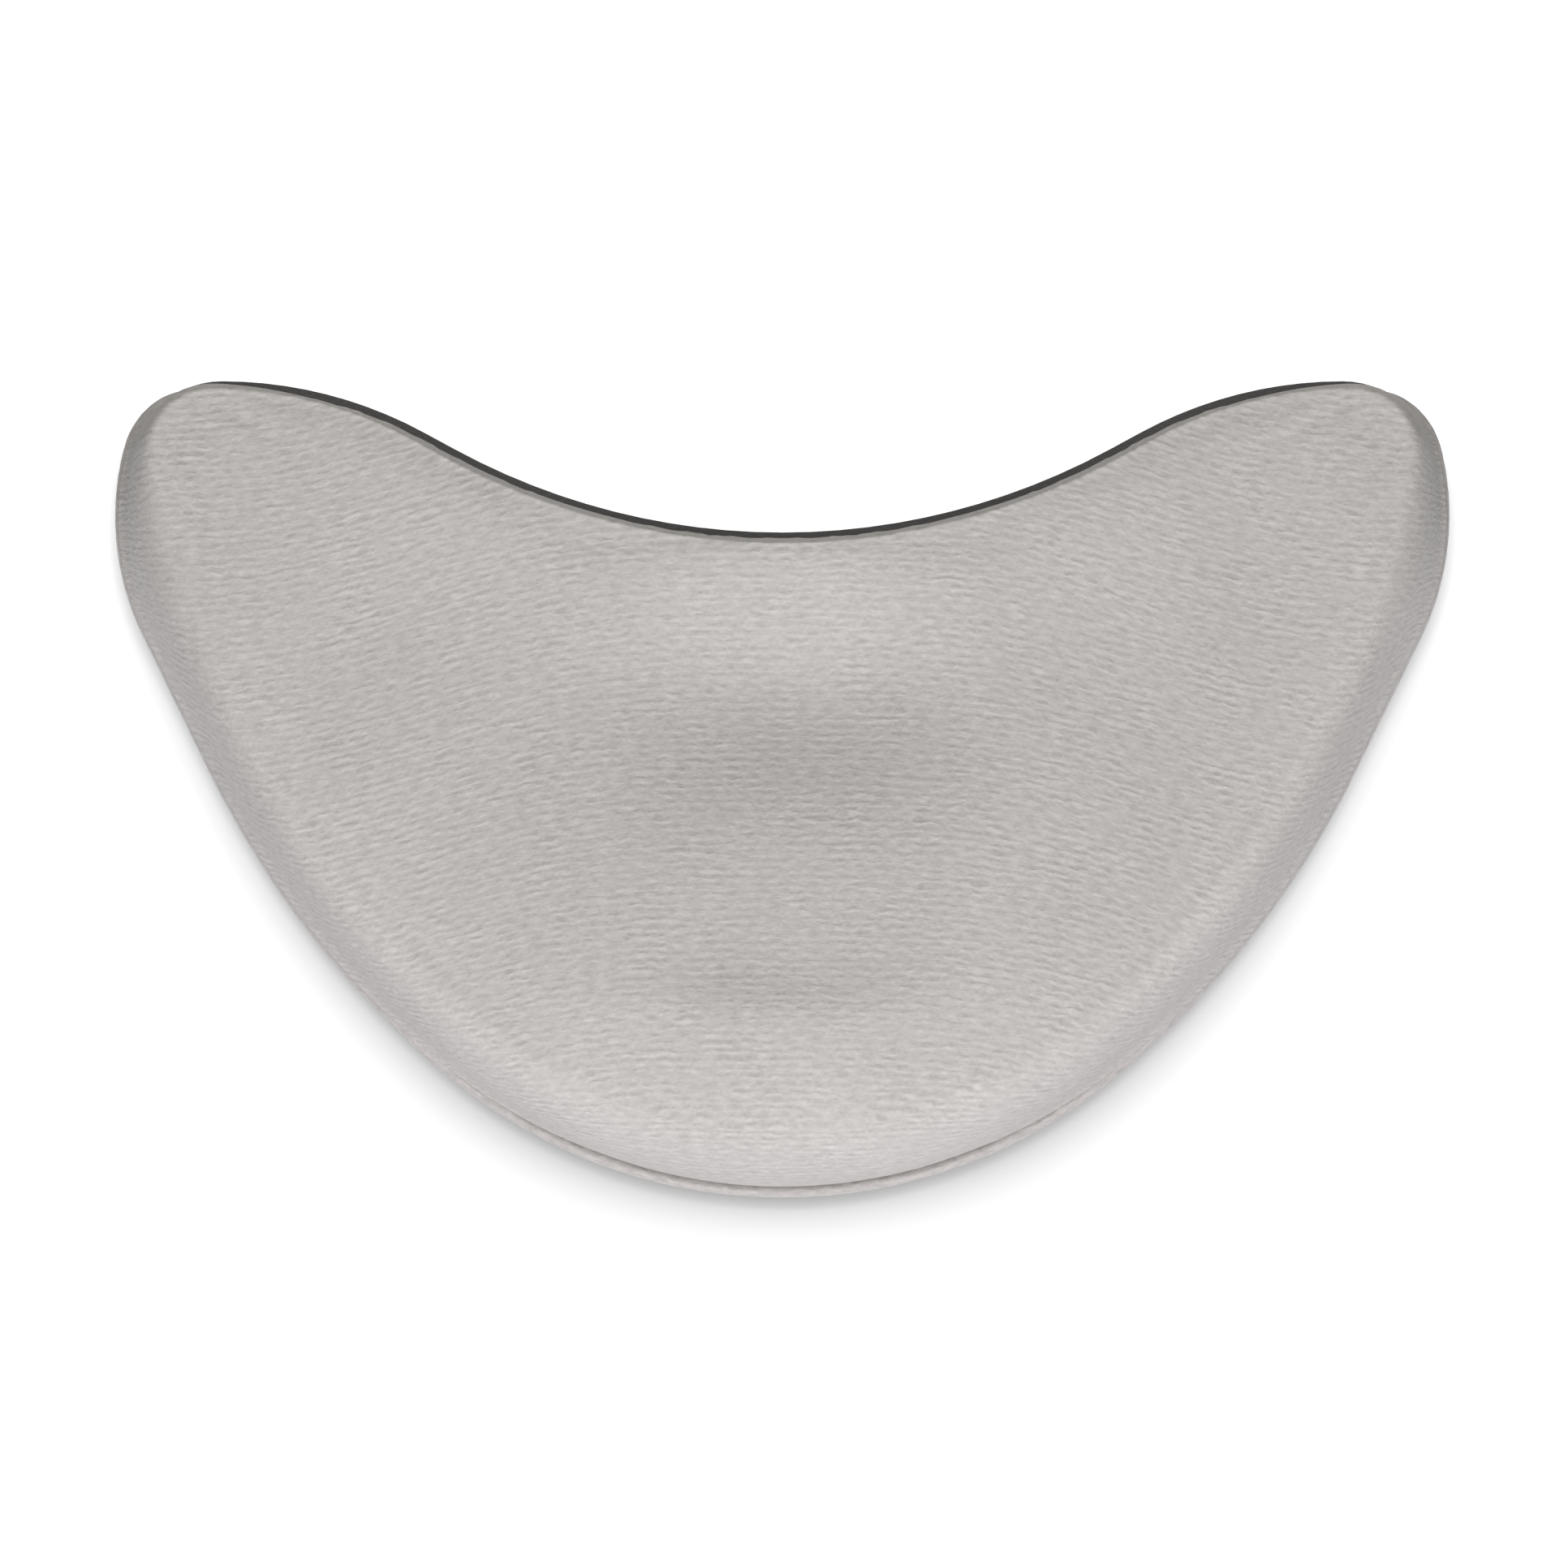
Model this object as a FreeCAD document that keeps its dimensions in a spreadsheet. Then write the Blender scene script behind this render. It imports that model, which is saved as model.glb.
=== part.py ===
"""Crescent armrest pad: a knit-covered foam crescent on a plywood carrier, closed below by a moulded shell.

Millimetres, +Z up, origin under the middle of the bounding box. +X runs from horn to horn and +Y from
the convex front edge towards the concave rear edge. Every layer follows one outline, the cover line:
a chain of tangent arcs, so a layer that lies inside or outside the cover line by some distance has the
same chain with its radii changed by that distance.
"""
import FreeCAD, Part
import math
import os
import Sketcher

Vector = FreeCAD.Vector
UP = Vector(0, 0, 1)

# Driving dimensions: alias, value, meaning. Lengths are in millimetres and angles in degrees.
DIMENSIONS = [
    ("nose_radius", 92.0, "cover line: convex front, from the middle outwards"),
    ("nose_sweep", 40.0, ""),
    ("quarter_radius", 167.0, "cover line: flatter stretch after the nose"),
    ("quarter_sweep", 24.0, ""),
    ("flank_length", 27.0, "cover line: straight flank"),
    ("cheek_radius", 47.0, "cover line: widest part"),
    ("cheek_sweep", 40.0, ""),
    ("tip_radius", 15.5, "cover line: outer corner of the horn"),
    ("tip_sweep", 76.0, ""),
    ("crown_radius", 75.5, "cover line: rear end of the horn"),
    ("crown_sweep", 28.5, ""),
    ("bay_radius", 126.5, "cover line: concave rear edge"),
    ("front_reach", 71.56, "from the origin forwards to the cover line"),
    ("pad_height", 30.0, "top of the ridge above the underside"),
    ("ridge_y", -38.6, "where the top is highest"),
    ("front_crown", 62.0, "radius of the top, in side view, in front of the ridge"),
    ("rear_crown", 1300.0, "radius of the top, in side view, behind the ridge"),
    ("convex_roll", 11.0, "rounding of the top edge on the convex side"),
    ("rear_roll", 3.0, "rounding of the top edge along the horns' ends and the bay"),
    ("dish_y", 14.0, "middle of the elbow dish"),
    ("dish_floor", 24.5, "height of the dish's lowest point"),
    ("dish_radius", 84.0, "radius of the dish's sphere"),
    ("skin", 1.2, "thickness of the knit cover"),
    ("hem_bottom", 4.2, "underside of the turned-under hem"),
    ("hem_width", 11.0, "how far the hem runs inwards"),
    ("carrier_thickness", 8.0, ""),
    ("carrier_inset", 1.5, "board's edge inside the cover line"),
    ("carrier_chamfer", 1.2, "broken top edge of the board"),
    ("core_top", 20.0, "glue plane between the two foams"),
    ("shell_outset", 1.5, "how far the shell stands outside the cover line"),
    ("shell_floor", 2.8, "wall of the shell"),
    ("shell_rim", 3.0, "how far the shell's rim runs inside the cover line"),
    ("shell_edge", 1.4, "rounding of the shell's lower edge"),
    ("welt_radius", 1.5, "outside of the piping sleeve"),
    ("cord_radius", 0.95, "piping cord inside the sleeve"),
    ("welt_tip_sweep", 56.0, "how far the welt runs round the tip"),
    ("thread_radius", 0.25, "seam thread"),
    ("mount_spacing_x", 100.0, "bolt pattern"),
    ("mount_spacing_y", 40.0, ""),
    ("mount_y", -8.6, "middle of the bolt pattern"),
    ("bolt_clearance", 6.6, "bore in the shell for an M6 bolt"),
    ("boss_diameter", 17.0, "shell boss round a bolt"),
    ("insert_diameter", 9.0, "outside of a threaded insert"),
    ("thread_bore", 5.0, "minor diameter of M6"),
    ("horn_screw_x", 94.0, ""),
    ("horn_screw_y", 46.0, ""),
    ("flank_screw_x", 70.0, ""),
    ("flank_screw_y", -12.0, ""),
    ("front_screw_x", 27.0, ""),
    ("front_screw_y", -44.0, ""),
    ("screw_boss", 9.0, "shell boss round a screw"),
    ("screw_shank", 3.5, ""),
    ("screw_head", 7.0, ""),
    ("screw_head_height", 1.9, ""),
    ("screw_sink", 0.3, "how far a head lies inside the underside"),
    ("screw_length", 11.0, "from the head's face to the point"),
    ("recess_width", 1.0, "cross recess in the head"),
    ("recess_length", 3.6, ""),
    ("recess_depth", 1.3, ""),
    ("staple_inset", 7.0, "staple line inside the cover line"),
    ("staple_pitch", 21.0, ""),
    ("staple_crown", 6.0, "length of a staple across its legs"),
    ("staple_wire", 0.6, ""),
    ("staple_leg", 6.0, ""),
]
VALUE = {alias: value for alias, value, meaning in DIMENSIONS}
TOLERANCE = 1e-4
PROFILE_SWEEP = {"front": 44.0, "rear": 6.0}   # degrees of the side profile's arcs, past both edges
PROFILE_SPARE = 5.0                             # the side profile's height above the ridge
TRIM_WIDTH = 300.0                              # wider than the pad, for the tools that cut right across

doc = FreeCAD.newDocument("crescent_armrest_pad")
sheet = doc.addObject("Spreadsheet::Sheet", "dims")
for row, (alias, value, meaning) in enumerate(DIMENSIONS, start=1):
    sheet.set(f"A{row}", alias)
    sheet.set(f"B{row}", str(value))
    sheet.setAlias(f"B{row}", alias)
    sheet.set(f"C{row}", meaning)
doc.recompute()

# Heights that follow from the driving dimensions, as sheet expressions.
HEM_TOP = "(dims.hem_bottom + dims.skin)"
CARRIER_TOP = "(dims.hem_bottom + dims.skin + dims.carrier_thickness)"
WELT_HEIGHT = "(dims.hem_bottom + dims.welt_radius)"
carrier_top = VALUE["hem_bottom"] + VALUE["skin"] + VALUE["carrier_thickness"]


def number(expression):
    """The value of an expression written with the sheet's aliases."""
    return float(sheet.evalExpression(expression))


# ---------------------------------------------------------------- the outline chain

def direction(angle):
    return Vector(math.cos(math.radians(angle)), math.sin(math.radians(angle)), 0)


def turn(point, heading, radius, sweep):
    """An arc that starts at point along heading and turns by sweep, to the left when it is positive."""
    side = 90 if sweep > 0 else -90
    centre = point + direction(heading + side) * radius
    first = heading - side
    last = first + sweep
    end = centre + direction(last) * radius
    low, high = sorted((math.radians(first), math.radians(last)))
    arc = Part.ArcOfCircle(Part.Circle(centre, UP, radius), low, high)
    return arc, end


def outline_chain(inset, last="bay", tip_sweep=VALUE["tip_sweep"]):
    """The right half of the outline up to its last piece: name, geometry and end of each, front to rear."""
    point = Vector(0, inset - VALUE["front_reach"], 0)
    heading = 0.0
    chain = []
    for name in ("nose", "quarter", "flank", "cheek", "tip", "crown"):
        if name == "flank":
            end = point + direction(heading) * VALUE["flank_length"]
            piece = Part.LineSegment(point, end)
        else:
            sweep = tip_sweep if name == "tip" else VALUE[name + "_sweep"]
            piece, end = turn(point, heading, VALUE[name + "_radius"] - inset, sweep)
            heading += sweep
        chain.append((name, piece, end))
        if name == last:
            return chain
        point = end
    bay_radius = VALUE["bay_radius"] + inset
    crown_sweep = math.radians(VALUE["crown_sweep"])
    link_length = (point.x - bay_radius * math.sin(crown_sweep)) / math.cos(crown_sweep)
    end = point + direction(heading) * link_length
    chain.append(("link", Part.LineSegment(point, end), end))
    bay, rear = turn(end, heading, bay_radius, -VALUE["crown_sweep"])
    chain.append(("bay", bay, rear))
    return chain


# ---------------------------------------------------------------- sketch helpers

def new_body(label):
    body = doc.addObject("PartDesign::Body", label)
    body.Label = label
    return body


def origin_plane(body, role):
    return next(item for item in body.Origin.OriginFeatures if item.Role == role)


def new_sketch(body, name, role="XY_Plane", height=None):
    """A sketch on one of the body's origin planes, raised by the height expression."""
    sketch = body.newObject("Sketcher::SketchObject", name)
    sketch.AttachmentSupport = [(origin_plane(body, role), "")]
    sketch.MapMode = "FlatFace"
    if height:
        sketch.setExpression("AttachmentOffset.Base.z", height)
    return sketch


def bind(sketch, constraint, name, expression):
    """Add a dimension to the sketch and drive it from the sheet."""
    index = sketch.addConstraint(constraint)
    sketch.renameConstraint(index, name)
    sketch.setExpression("Constraints." + name, expression)


def draw_chain(sketch, chain, inset, inset_expression, tip_sweep="tip_sweep"):
    """Draw a chain with tangent joints, its radii, sweeps and start bound to the sheet."""
    start, end, centre = 1, 2, 3
    y_axis, origin = -2, -1
    joint = None
    for name, geometry, reached in chain:
        index = sketch.addGeometry(geometry, False)
        enters, leaves = (end, start) if name == "bay" else (start, end)
        if joint is None:
            sketch.addConstraint(Sketcher.Constraint("PointOnObject", index, start, y_axis))
            sketch.addConstraint(Sketcher.Constraint("PointOnObject", index, centre, y_axis))
            reach = VALUE["front_reach"] - inset
            bind(sketch, Sketcher.Constraint("DistanceY", index, start, origin, 1, reach),
                 "reach", f"dims.front_reach - ({inset_expression})")
        else:
            sketch.addConstraint(Sketcher.Constraint("Tangent", *joint, index, enters))
        if name == "flank":
            bind(sketch, Sketcher.Constraint("Distance", index, VALUE["flank_length"]),
                 "flank", "dims.flank_length")
        elif name != "link":
            sign = "+" if name == "bay" else "-"
            bind(sketch, Sketcher.Constraint("Radius", index, geometry.Radius),
                 name + "_r", f"dims.{name}_radius {sign} ({inset_expression})")
        if name in ("nose", "quarter", "cheek", "tip", "crown"):
            alias = tip_sweep if name == "tip" else name + "_sweep"
            bind(sketch, Sketcher.Constraint("Angle", index, math.radians(VALUE[alias])),
                 name + "_a", f"dims.{alias} * 1 deg")
        joint = (index, leaves)
    return joint


def draw_half_outline(sketch, inset, inset_expression):
    """The right half of the crescent, closed along the middle plane."""
    start, end, centre = 1, 2, 3
    y_axis = -2
    chain = outline_chain(inset)
    rear = chain[-1][2]
    front = Vector(0, inset - VALUE["front_reach"], 0)
    last, last_end = draw_chain(sketch, chain, inset, inset_expression)
    sketch.addConstraint(Sketcher.Constraint("PointOnObject", last, centre, y_axis))
    sketch.addConstraint(Sketcher.Constraint("PointOnObject", last, last_end, y_axis))
    middle = sketch.addGeometry(Part.LineSegment(rear, front), False)
    sketch.addConstraint(Sketcher.Constraint("Coincident", middle, start, last, last_end))
    sketch.addConstraint(Sketcher.Constraint("Coincident", middle, end, 0, start))


def mirror_in_x(body, feature):
    """Complete a half feature with its mirror image across the middle plane."""
    mirrored = body.newObject("PartDesign::Mirrored", feature.Name + "_mirrored")
    mirrored.Originals = [feature]
    mirrored.MirrorPlane = (origin_plane(body, "YZ_Plane"), [""])
    body.Tip = mirrored
    return mirrored


def crescent(body, name, inset_expression, bottom, thickness, kind="Pad"):
    """Pad or pocket the whole crescent at an inset: a half outline and its mirror image."""
    inset = number(inset_expression)
    sketch = new_sketch(body, name + "_outline", height=bottom)
    draw_half_outline(sketch, inset, inset_expression)
    feature = body.newObject("PartDesign::" + kind, name)
    feature.Profile = sketch
    feature.setExpression("Length", thickness)
    if kind == "Pocket":
        feature.Reversed = True
    doc.recompute()
    return mirror_in_x(body, feature)


def circles(sketch, spots, diameter, diameter_expression):
    """Circles at spots, each spot a pair of signed sheet expressions for X and Y."""
    for index, (x_expression, y_expression) in enumerate(spots):
        x, y = number(x_expression), number(y_expression)
        circle = sketch.addGeometry(Part.Circle(Vector(x, y, 0), UP, diameter / 2), False)
        bind(sketch, Sketcher.Constraint("Diameter", circle, diameter), f"d{index}", diameter_expression)
        for axis, value, expression in (("X", x, x_expression), ("Y", y, y_expression)):
            ends = (-1, 1, circle, 3) if value > 0 else (circle, 3, -1, 1)
            sign = "" if value > 0 else "-"
            bind(sketch, Sketcher.Constraint("Distance" + axis, *ends, abs(value)),
                 f"{axis.lower()}{index}", f"{sign}({expression})")


def rectangles(sketch, spots, width_expression, height_expression):
    """Rectangles centred on spots, along the sketch's axes."""
    width, height = number(width_expression), number(height_expression)
    for index, (x_expression, y_expression) in enumerate(spots):
        x, y = number(x_expression), number(y_expression)
        corners = [Vector(x + sx * width / 2, y + sy * height / 2, 0)
                   for sx, sy in ((-1, -1), (1, -1), (1, 1), (-1, 1))]
        lines = [sketch.addGeometry(Part.LineSegment(corners[i], corners[(i + 1) % 4]), False)
                 for i in range(4)]
        for i in range(4):
            sketch.addConstraint(Sketcher.Constraint("Coincident", lines[i], 2, lines[(i + 1) % 4], 1))
            sketch.addConstraint(Sketcher.Constraint("Vertical" if i % 2 else "Horizontal", lines[i]))
        bind(sketch, Sketcher.Constraint("Distance", lines[0], width), f"w{index}", width_expression)
        bind(sketch, Sketcher.Constraint("Distance", lines[1], height), f"h{index}", height_expression)
        for axis, place, size, expression, size_expression in (
                ("X", x, width, x_expression, width_expression),
                ("Y", y, height, y_expression, height_expression)):
            corner = place - size / 2
            ends = (-1, 1, lines[0], 1) if corner > 0 else (lines[0], 1, -1, 1)
            sign = "" if corner > 0 else "-"
            bind(sketch, Sketcher.Constraint("Distance" + axis, *ends, abs(corner)),
                 f"{axis.lower()}{index}", f"{sign}({expression} - {size_expression} / 2)")


def finish_feature(body, feature, kind, thickness):
    """Set a pad's or pocket's depth, always upwards from its sketch, and make it the body's result."""
    feature.setExpression("Length", thickness)
    if kind == "Pocket":
        feature.Reversed = True
    doc.recompute()
    body.Tip = feature


MOUNT_SPOTS = [(f"{sx} * dims.mount_spacing_x / 2", f"dims.mount_y + {sy} * dims.mount_spacing_y / 2")
               for sx in (-1, 1) for sy in (-1, 1)]
SCREW_SPOTS = [(f"{side} * dims.{place}_screw_x", f"dims.{place}_screw_y")
               for place in ("horn", "flank", "front") for side in (-1, 1)]


# ---------------------------------------------------------------- the domed solid under the cover

def side_profile(body, inset_expression):
    """What lies above the pad in side view: a front and a rear arc that meet level at the ridge."""
    inset = number(inset_expression)
    sketch = new_sketch(body, "side_profile", "YZ_Plane")
    apex = Vector(VALUE["ridge_y"], VALUE["pad_height"] - inset, 0)
    front_arc, front_end = turn(apex, 180.0, VALUE["front_crown"] - inset, PROFILE_SWEEP["front"])
    rear_arc, rear_end = turn(apex, 0.0, VALUE["rear_crown"] - inset, -PROFILE_SWEEP["rear"])
    above = VALUE["pad_height"] + PROFILE_SPARE
    front_top = Vector(front_end.x, above, 0)
    rear_top = Vector(rear_end.x, above, 0)
    front, rear = sketch.addGeometry([front_arc, rear_arc], False)
    lines = sketch.addGeometry([Part.LineSegment(front_end, front_top),
                                Part.LineSegment(front_top, rear_top),
                                Part.LineSegment(rear_top, rear_end)], False)
    sketch.addConstraint([
        Sketcher.Constraint("Tangent", front, 1, rear, 2),
        Sketcher.Constraint("Vertical", front, 3, front, 1),
        Sketcher.Constraint("Coincident", front, 2, lines[0], 1),
        Sketcher.Constraint("Coincident", lines[0], 2, lines[1], 1),
        Sketcher.Constraint("Coincident", lines[1], 2, lines[2], 1),
        Sketcher.Constraint("Coincident", lines[2], 2, rear, 1),
        Sketcher.Constraint("Vertical", lines[0]),
        Sketcher.Constraint("Horizontal", lines[1]),
        Sketcher.Constraint("Vertical", lines[2]),
        Sketcher.Constraint("Angle", front, math.radians(PROFILE_SWEEP["front"])),
        Sketcher.Constraint("Angle", rear, math.radians(PROFILE_SWEEP["rear"]))])
    bind(sketch, Sketcher.Constraint("DistanceX", front, 1, -1, 1, -apex.x), "ridge", "-dims.ridge_y")
    bind(sketch, Sketcher.Constraint("DistanceY", -1, 1, front, 1, apex.y),
         "height", f"dims.pad_height - ({inset_expression})")
    bind(sketch, Sketcher.Constraint("Radius", front, front_arc.Radius),
         "front_r", f"dims.front_crown - ({inset_expression})")
    bind(sketch, Sketcher.Constraint("Radius", rear, rear_arc.Radius),
         "rear_r", f"dims.rear_crown - ({inset_expression})")
    bind(sketch, Sketcher.Constraint("DistanceY", -1, 1, lines[0], 2, above),
         "above", f"dims.pad_height + {PROFILE_SPARE}")
    return sketch


def is_wall(face):
    low_u, high_u, low_v, high_v = face.ParameterRange
    return abs(face.normalAt((low_u + high_u) / 2, (low_v + high_v) / 2).z) < TOLERANCE


def top_rounding(shape, inset):
    """Edges between the walls and the top, each with its first and last rounding radius."""
    walls = [face for face in shape.Faces if is_wall(face)]
    wall_edges = [edge.hashCode() for face in walls for edge in face.Edges]
    convex = VALUE["convex_roll"] - inset
    rear = VALUE["rear_roll"] - inset
    pieces = [(name, geometry.toShape()) for name, geometry, reached in outline_chain(inset)]
    chosen = []
    for index, edge in enumerate(shape.Edges, start=1):
        if edge.hashCode() not in wall_edges or edge.BoundBox.ZMin < carrier_top:
            continue
        middle = edge.valueAt((edge.FirstParameter + edge.LastParameter) / 2)
        if wall_edges.count(edge.hashCode()) > 1:
            continue
        flat = Part.Vertex(abs(middle.x), middle.y, 0)
        name = min(pieces, key=lambda piece: piece[1].distToShape(flat)[0])[0]
        if name == "tip":
            rises = edge.valueAt(edge.FirstParameter).y < edge.valueAt(edge.LastParameter).y
            radii = (convex, rear) if rises else (rear, convex)
        elif name in ("crown", "link", "bay"):
            radii = (rear, rear)
        else:
            radii = (convex, convex)
        chosen.append((index, *radii))
    return chosen


def dome(name, inset_expression):
    """The rounded, dished crescent at an inset from the cover's outer surface, down to the hem."""
    inset = number(inset_expression)
    block = new_body(name + "_block")
    crescent(block, "block", inset_expression, HEM_TOP, f"dims.pad_height - {HEM_TOP}")
    profile = side_profile(block, inset_expression)
    trim = block.newObject("PartDesign::Pocket", "trim")
    trim.Profile = profile
    trim.SideType = "Symmetric"
    trim.Length = TRIM_WIDTH
    doc.recompute()
    block.Tip = trim
    rolled = doc.addObject("Part::Fillet", name + "_rolled")
    rolled.Base = block
    rolled.Edges = top_rounding(block.Shape, inset)
    sphere = doc.addObject("Part::Sphere", name + "_sphere")
    sphere.setExpression("Radius", f"dims.dish_radius + ({inset_expression})")
    sphere.setExpression("Placement.Base.y", "dims.dish_y")
    sphere.setExpression("Placement.Base.z", "dims.dish_floor + dims.dish_radius")
    dished = doc.addObject("Part::Cut", name)
    dished.Base = rolled
    dished.Tool = sphere
    doc.recompute()
    return dished


# ---------------------------------------------------------------- the sub-parts

def group_body(label):
    """A body that may hold several separate solids: identical fasteners."""
    body = new_body(label)
    body.AllowCompound = True
    return body


def pad_circles(body, name, spots, diameter, bottom, thickness, kind="Pad", taper=0.0):
    sketch = new_sketch(body, name + "_sketch", height=bottom)
    circles(sketch, spots, number(diameter), diameter)
    feature = body.newObject("PartDesign::" + kind, name)
    feature.Profile = sketch
    feature.TaperAngle = taper
    finish_feature(body, feature, kind, thickness)


def pad_rectangles(body, name, spots, width, height, bottom, thickness, kind="Pad"):
    sketch = new_sketch(body, name + "_sketch", height=bottom)
    rectangles(sketch, spots, width, height)
    feature = body.newObject("PartDesign::" + kind, name)
    feature.Profile = sketch
    finish_feature(body, feature, kind, thickness)


def head_taper():
    """Half angle of the countersunk head, as a pad that narrows upwards."""
    run = (VALUE["screw_head"] - VALUE["screw_shank"]) / 2
    return -math.degrees(math.atan2(run, VALUE["screw_head_height"]))


def make_under_cover():
    body = new_body("under_cover")
    crescent(body, "plate", "-dims.shell_outset", "0", "dims.hem_bottom")
    crescent(body, "recess", "dims.shell_rim", "dims.shell_floor",
             "dims.hem_bottom - dims.shell_floor", kind="Pocket")
    lower = [f"Edge{index}" for index, edge in enumerate(body.Shape.Edges, start=1)
             if edge.BoundBox.ZMax < TOLERANCE]
    rounding = body.newObject("PartDesign::Fillet", "lower_edge")
    rounding.Base = (body.Tip, lower)
    rounding.setExpression("Radius", "dims.shell_edge")
    doc.recompute()
    body.Tip = rounding
    boss_height = f"{HEM_TOP} - dims.shell_floor"
    pad_circles(body, "bolt_bosses", MOUNT_SPOTS, "dims.boss_diameter", "dims.shell_floor", boss_height)
    pad_circles(body, "screw_bosses", SCREW_SPOTS, "dims.screw_boss", "dims.shell_floor", boss_height)
    pad_circles(body, "bolt_bores", MOUNT_SPOTS, "dims.bolt_clearance", "0", HEM_TOP, "Pocket")
    pad_circles(body, "screw_bores", SCREW_SPOTS, "dims.screw_shank", "0", HEM_TOP, "Pocket")
    pad_circles(body, "screw_sinks", SCREW_SPOTS, "dims.screw_head", "0", "dims.screw_sink", "Pocket")
    pad_circles(body, "countersinks", SCREW_SPOTS, "dims.screw_head", "dims.screw_sink",
                "dims.screw_head_height", "Pocket", head_taper())
    return body


def make_under_cover_screws():
    body = group_body("under_cover_screws")
    pad_circles(body, "heads", SCREW_SPOTS, "dims.screw_head", "dims.screw_sink",
                "dims.screw_head_height", taper=head_taper())
    pad_circles(body, "shanks", SCREW_SPOTS, "dims.screw_shank",
                "dims.screw_sink + dims.screw_head_height", "dims.screw_length - dims.screw_head_height")
    for name, width, height in (("recess_x", "dims.recess_length", "dims.recess_width"),
                                ("recess_y", "dims.recess_width", "dims.recess_length")):
        pad_rectangles(body, name, SCREW_SPOTS, width, height, "dims.screw_sink",
                       "dims.recess_depth", "Pocket")
    return body


def make_threaded_inserts():
    body = group_body("threaded_inserts")
    pad_circles(body, "barrels", MOUNT_SPOTS, "dims.insert_diameter", HEM_TOP, "dims.carrier_thickness")
    pad_circles(body, "threads", MOUNT_SPOTS, "dims.thread_bore", HEM_TOP,
                "dims.carrier_thickness", "Pocket")
    return body


def staple_stations():
    """Middle and direction of each staple along the staple line, both halves."""
    chain = outline_chain(VALUE["staple_inset"])
    line = Part.Wire([geometry.toShape() for name, geometry, reached in chain])
    count = round(line.Length / VALUE["staple_pitch"])
    points = line.discretize(2 * count + 1)
    for index in range(1, 2 * count, 2):
        along = (points[index + 1] - points[index - 1]).normalize()
        for side in (1, -1):
            yield Vector(side * points[index].x, points[index].y, 0), Vector(side * along.x, along.y, 0)


def make_cover_staples():
    """Staples driven up through the hem: a crown below the hem and two legs into the carrier."""
    wire, crown, leg = VALUE["staple_wire"], VALUE["staple_crown"], VALUE["staple_leg"]
    bottom = VALUE["hem_bottom"] - wire
    bridge = Part.makeBox(crown, wire, wire, Vector(-crown / 2, -wire / 2, bottom))
    legs = [Part.makeBox(wire, wire, leg, Vector(x, -wire / 2, VALUE["hem_bottom"]))
            for x in (-crown / 2, crown / 2 - wire)]
    staple = bridge.fuse(legs).removeSplitter()
    placed = []
    for middle, along in staple_stations():
        copy = staple.copy()
        copy.Placement = FreeCAD.Placement(middle, FreeCAD.Rotation(Vector(1, 0, 0), along))
        placed.append(copy)
    feature = doc.addObject("Part::Feature", "cover_staples")
    feature.Shape = Part.makeCompound(placed)
    return feature


def cut(label, base, tool):
    feature = doc.addObject("Part::Cut", label)
    feature.Base = base
    feature.Tool = tool
    doc.recompute()
    return feature


def make_cover_hem(staples):
    body = new_body("hem_strip")
    crescent(body, "hem", "0", "dims.hem_bottom", "dims.skin")
    crescent(body, "opening", "dims.hem_width", "dims.hem_bottom", "dims.skin", kind="Pocket")
    return cut("cover_hem", body, staples)


def make_carrier_plate(staples):
    body = new_body("carrier_board")
    crescent(body, "board", "dims.carrier_inset", HEM_TOP, "dims.carrier_thickness")
    upper = [f"Edge{index}" for index, edge in enumerate(body.Shape.Edges, start=1)
             if edge.BoundBox.ZMin > carrier_top - TOLERANCE]
    chamfer = body.newObject("PartDesign::Chamfer", "upper_edge")
    chamfer.Base = (body.Tip, upper)
    chamfer.setExpression("Size", "dims.carrier_chamfer")
    doc.recompute()
    body.Tip = chamfer
    pad_circles(body, "insert_bores", MOUNT_SPOTS, "dims.insert_diameter", HEM_TOP,
                "dims.carrier_thickness", "Pocket")
    pad_circles(body, "pilot_bores", SCREW_SPOTS, "dims.screw_shank", HEM_TOP,
                "dims.carrier_thickness", "Pocket")
    return cut("carrier_plate", body, staples)


def foam_slab(label, inner, bottom, thickness):
    """The part of the inner dome between two levels."""
    slab = doc.addObject("Part::Box", label + "_slab")
    for side in ("Length", "Width"):
        slab.setExpression(side, str(TRIM_WIDTH))
    slab.setExpression("Height", thickness)
    for axis in "xy":
        slab.setExpression("Placement.Base." + axis, str(-TRIM_WIDTH / 2))
    slab.setExpression("Placement.Base.z", bottom)
    foam = doc.addObject("Part::Common", label)
    foam.Base = inner
    foam.Tool = slab
    doc.recompute()
    return foam


def edge_pipe(label, outset, height, radius, bore=None):
    """A round strand along the convex edge from tip to tip, solid or with a bore."""
    body = new_body(label)
    inset = -number(outset)
    path = new_sketch(body, "path", height=height)
    chain = outline_chain(inset, "tip", VALUE["welt_tip_sweep"])
    draw_chain(path, chain, inset, f"-({outset})", "welt_tip_sweep")
    section = new_sketch(body, "section", "YZ_Plane")
    reach = VALUE["front_reach"] - inset
    for index, size in enumerate([radius, bore] if bore else [radius]):
        centre = Vector(-reach, number(height), 0)
        circle = section.addGeometry(Part.Circle(centre, UP, number(size)), False)
        bind(section, Sketcher.Constraint("Radius", circle, number(size)), f"r{index}", size)
        bind(section, Sketcher.Constraint("DistanceX", circle, 3, -1, 1, reach),
             f"reach{index}", f"dims.front_reach + {outset}")
        bind(section, Sketcher.Constraint("DistanceY", -1, 1, circle, 3, number(height)),
             f"height{index}", height)
    pipe = body.newObject("PartDesign::AdditivePipe", "strand")
    pipe.Profile = section
    pipe.Spine = path
    doc.recompute()
    mirror_in_x(body, pipe)
    return body


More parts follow.
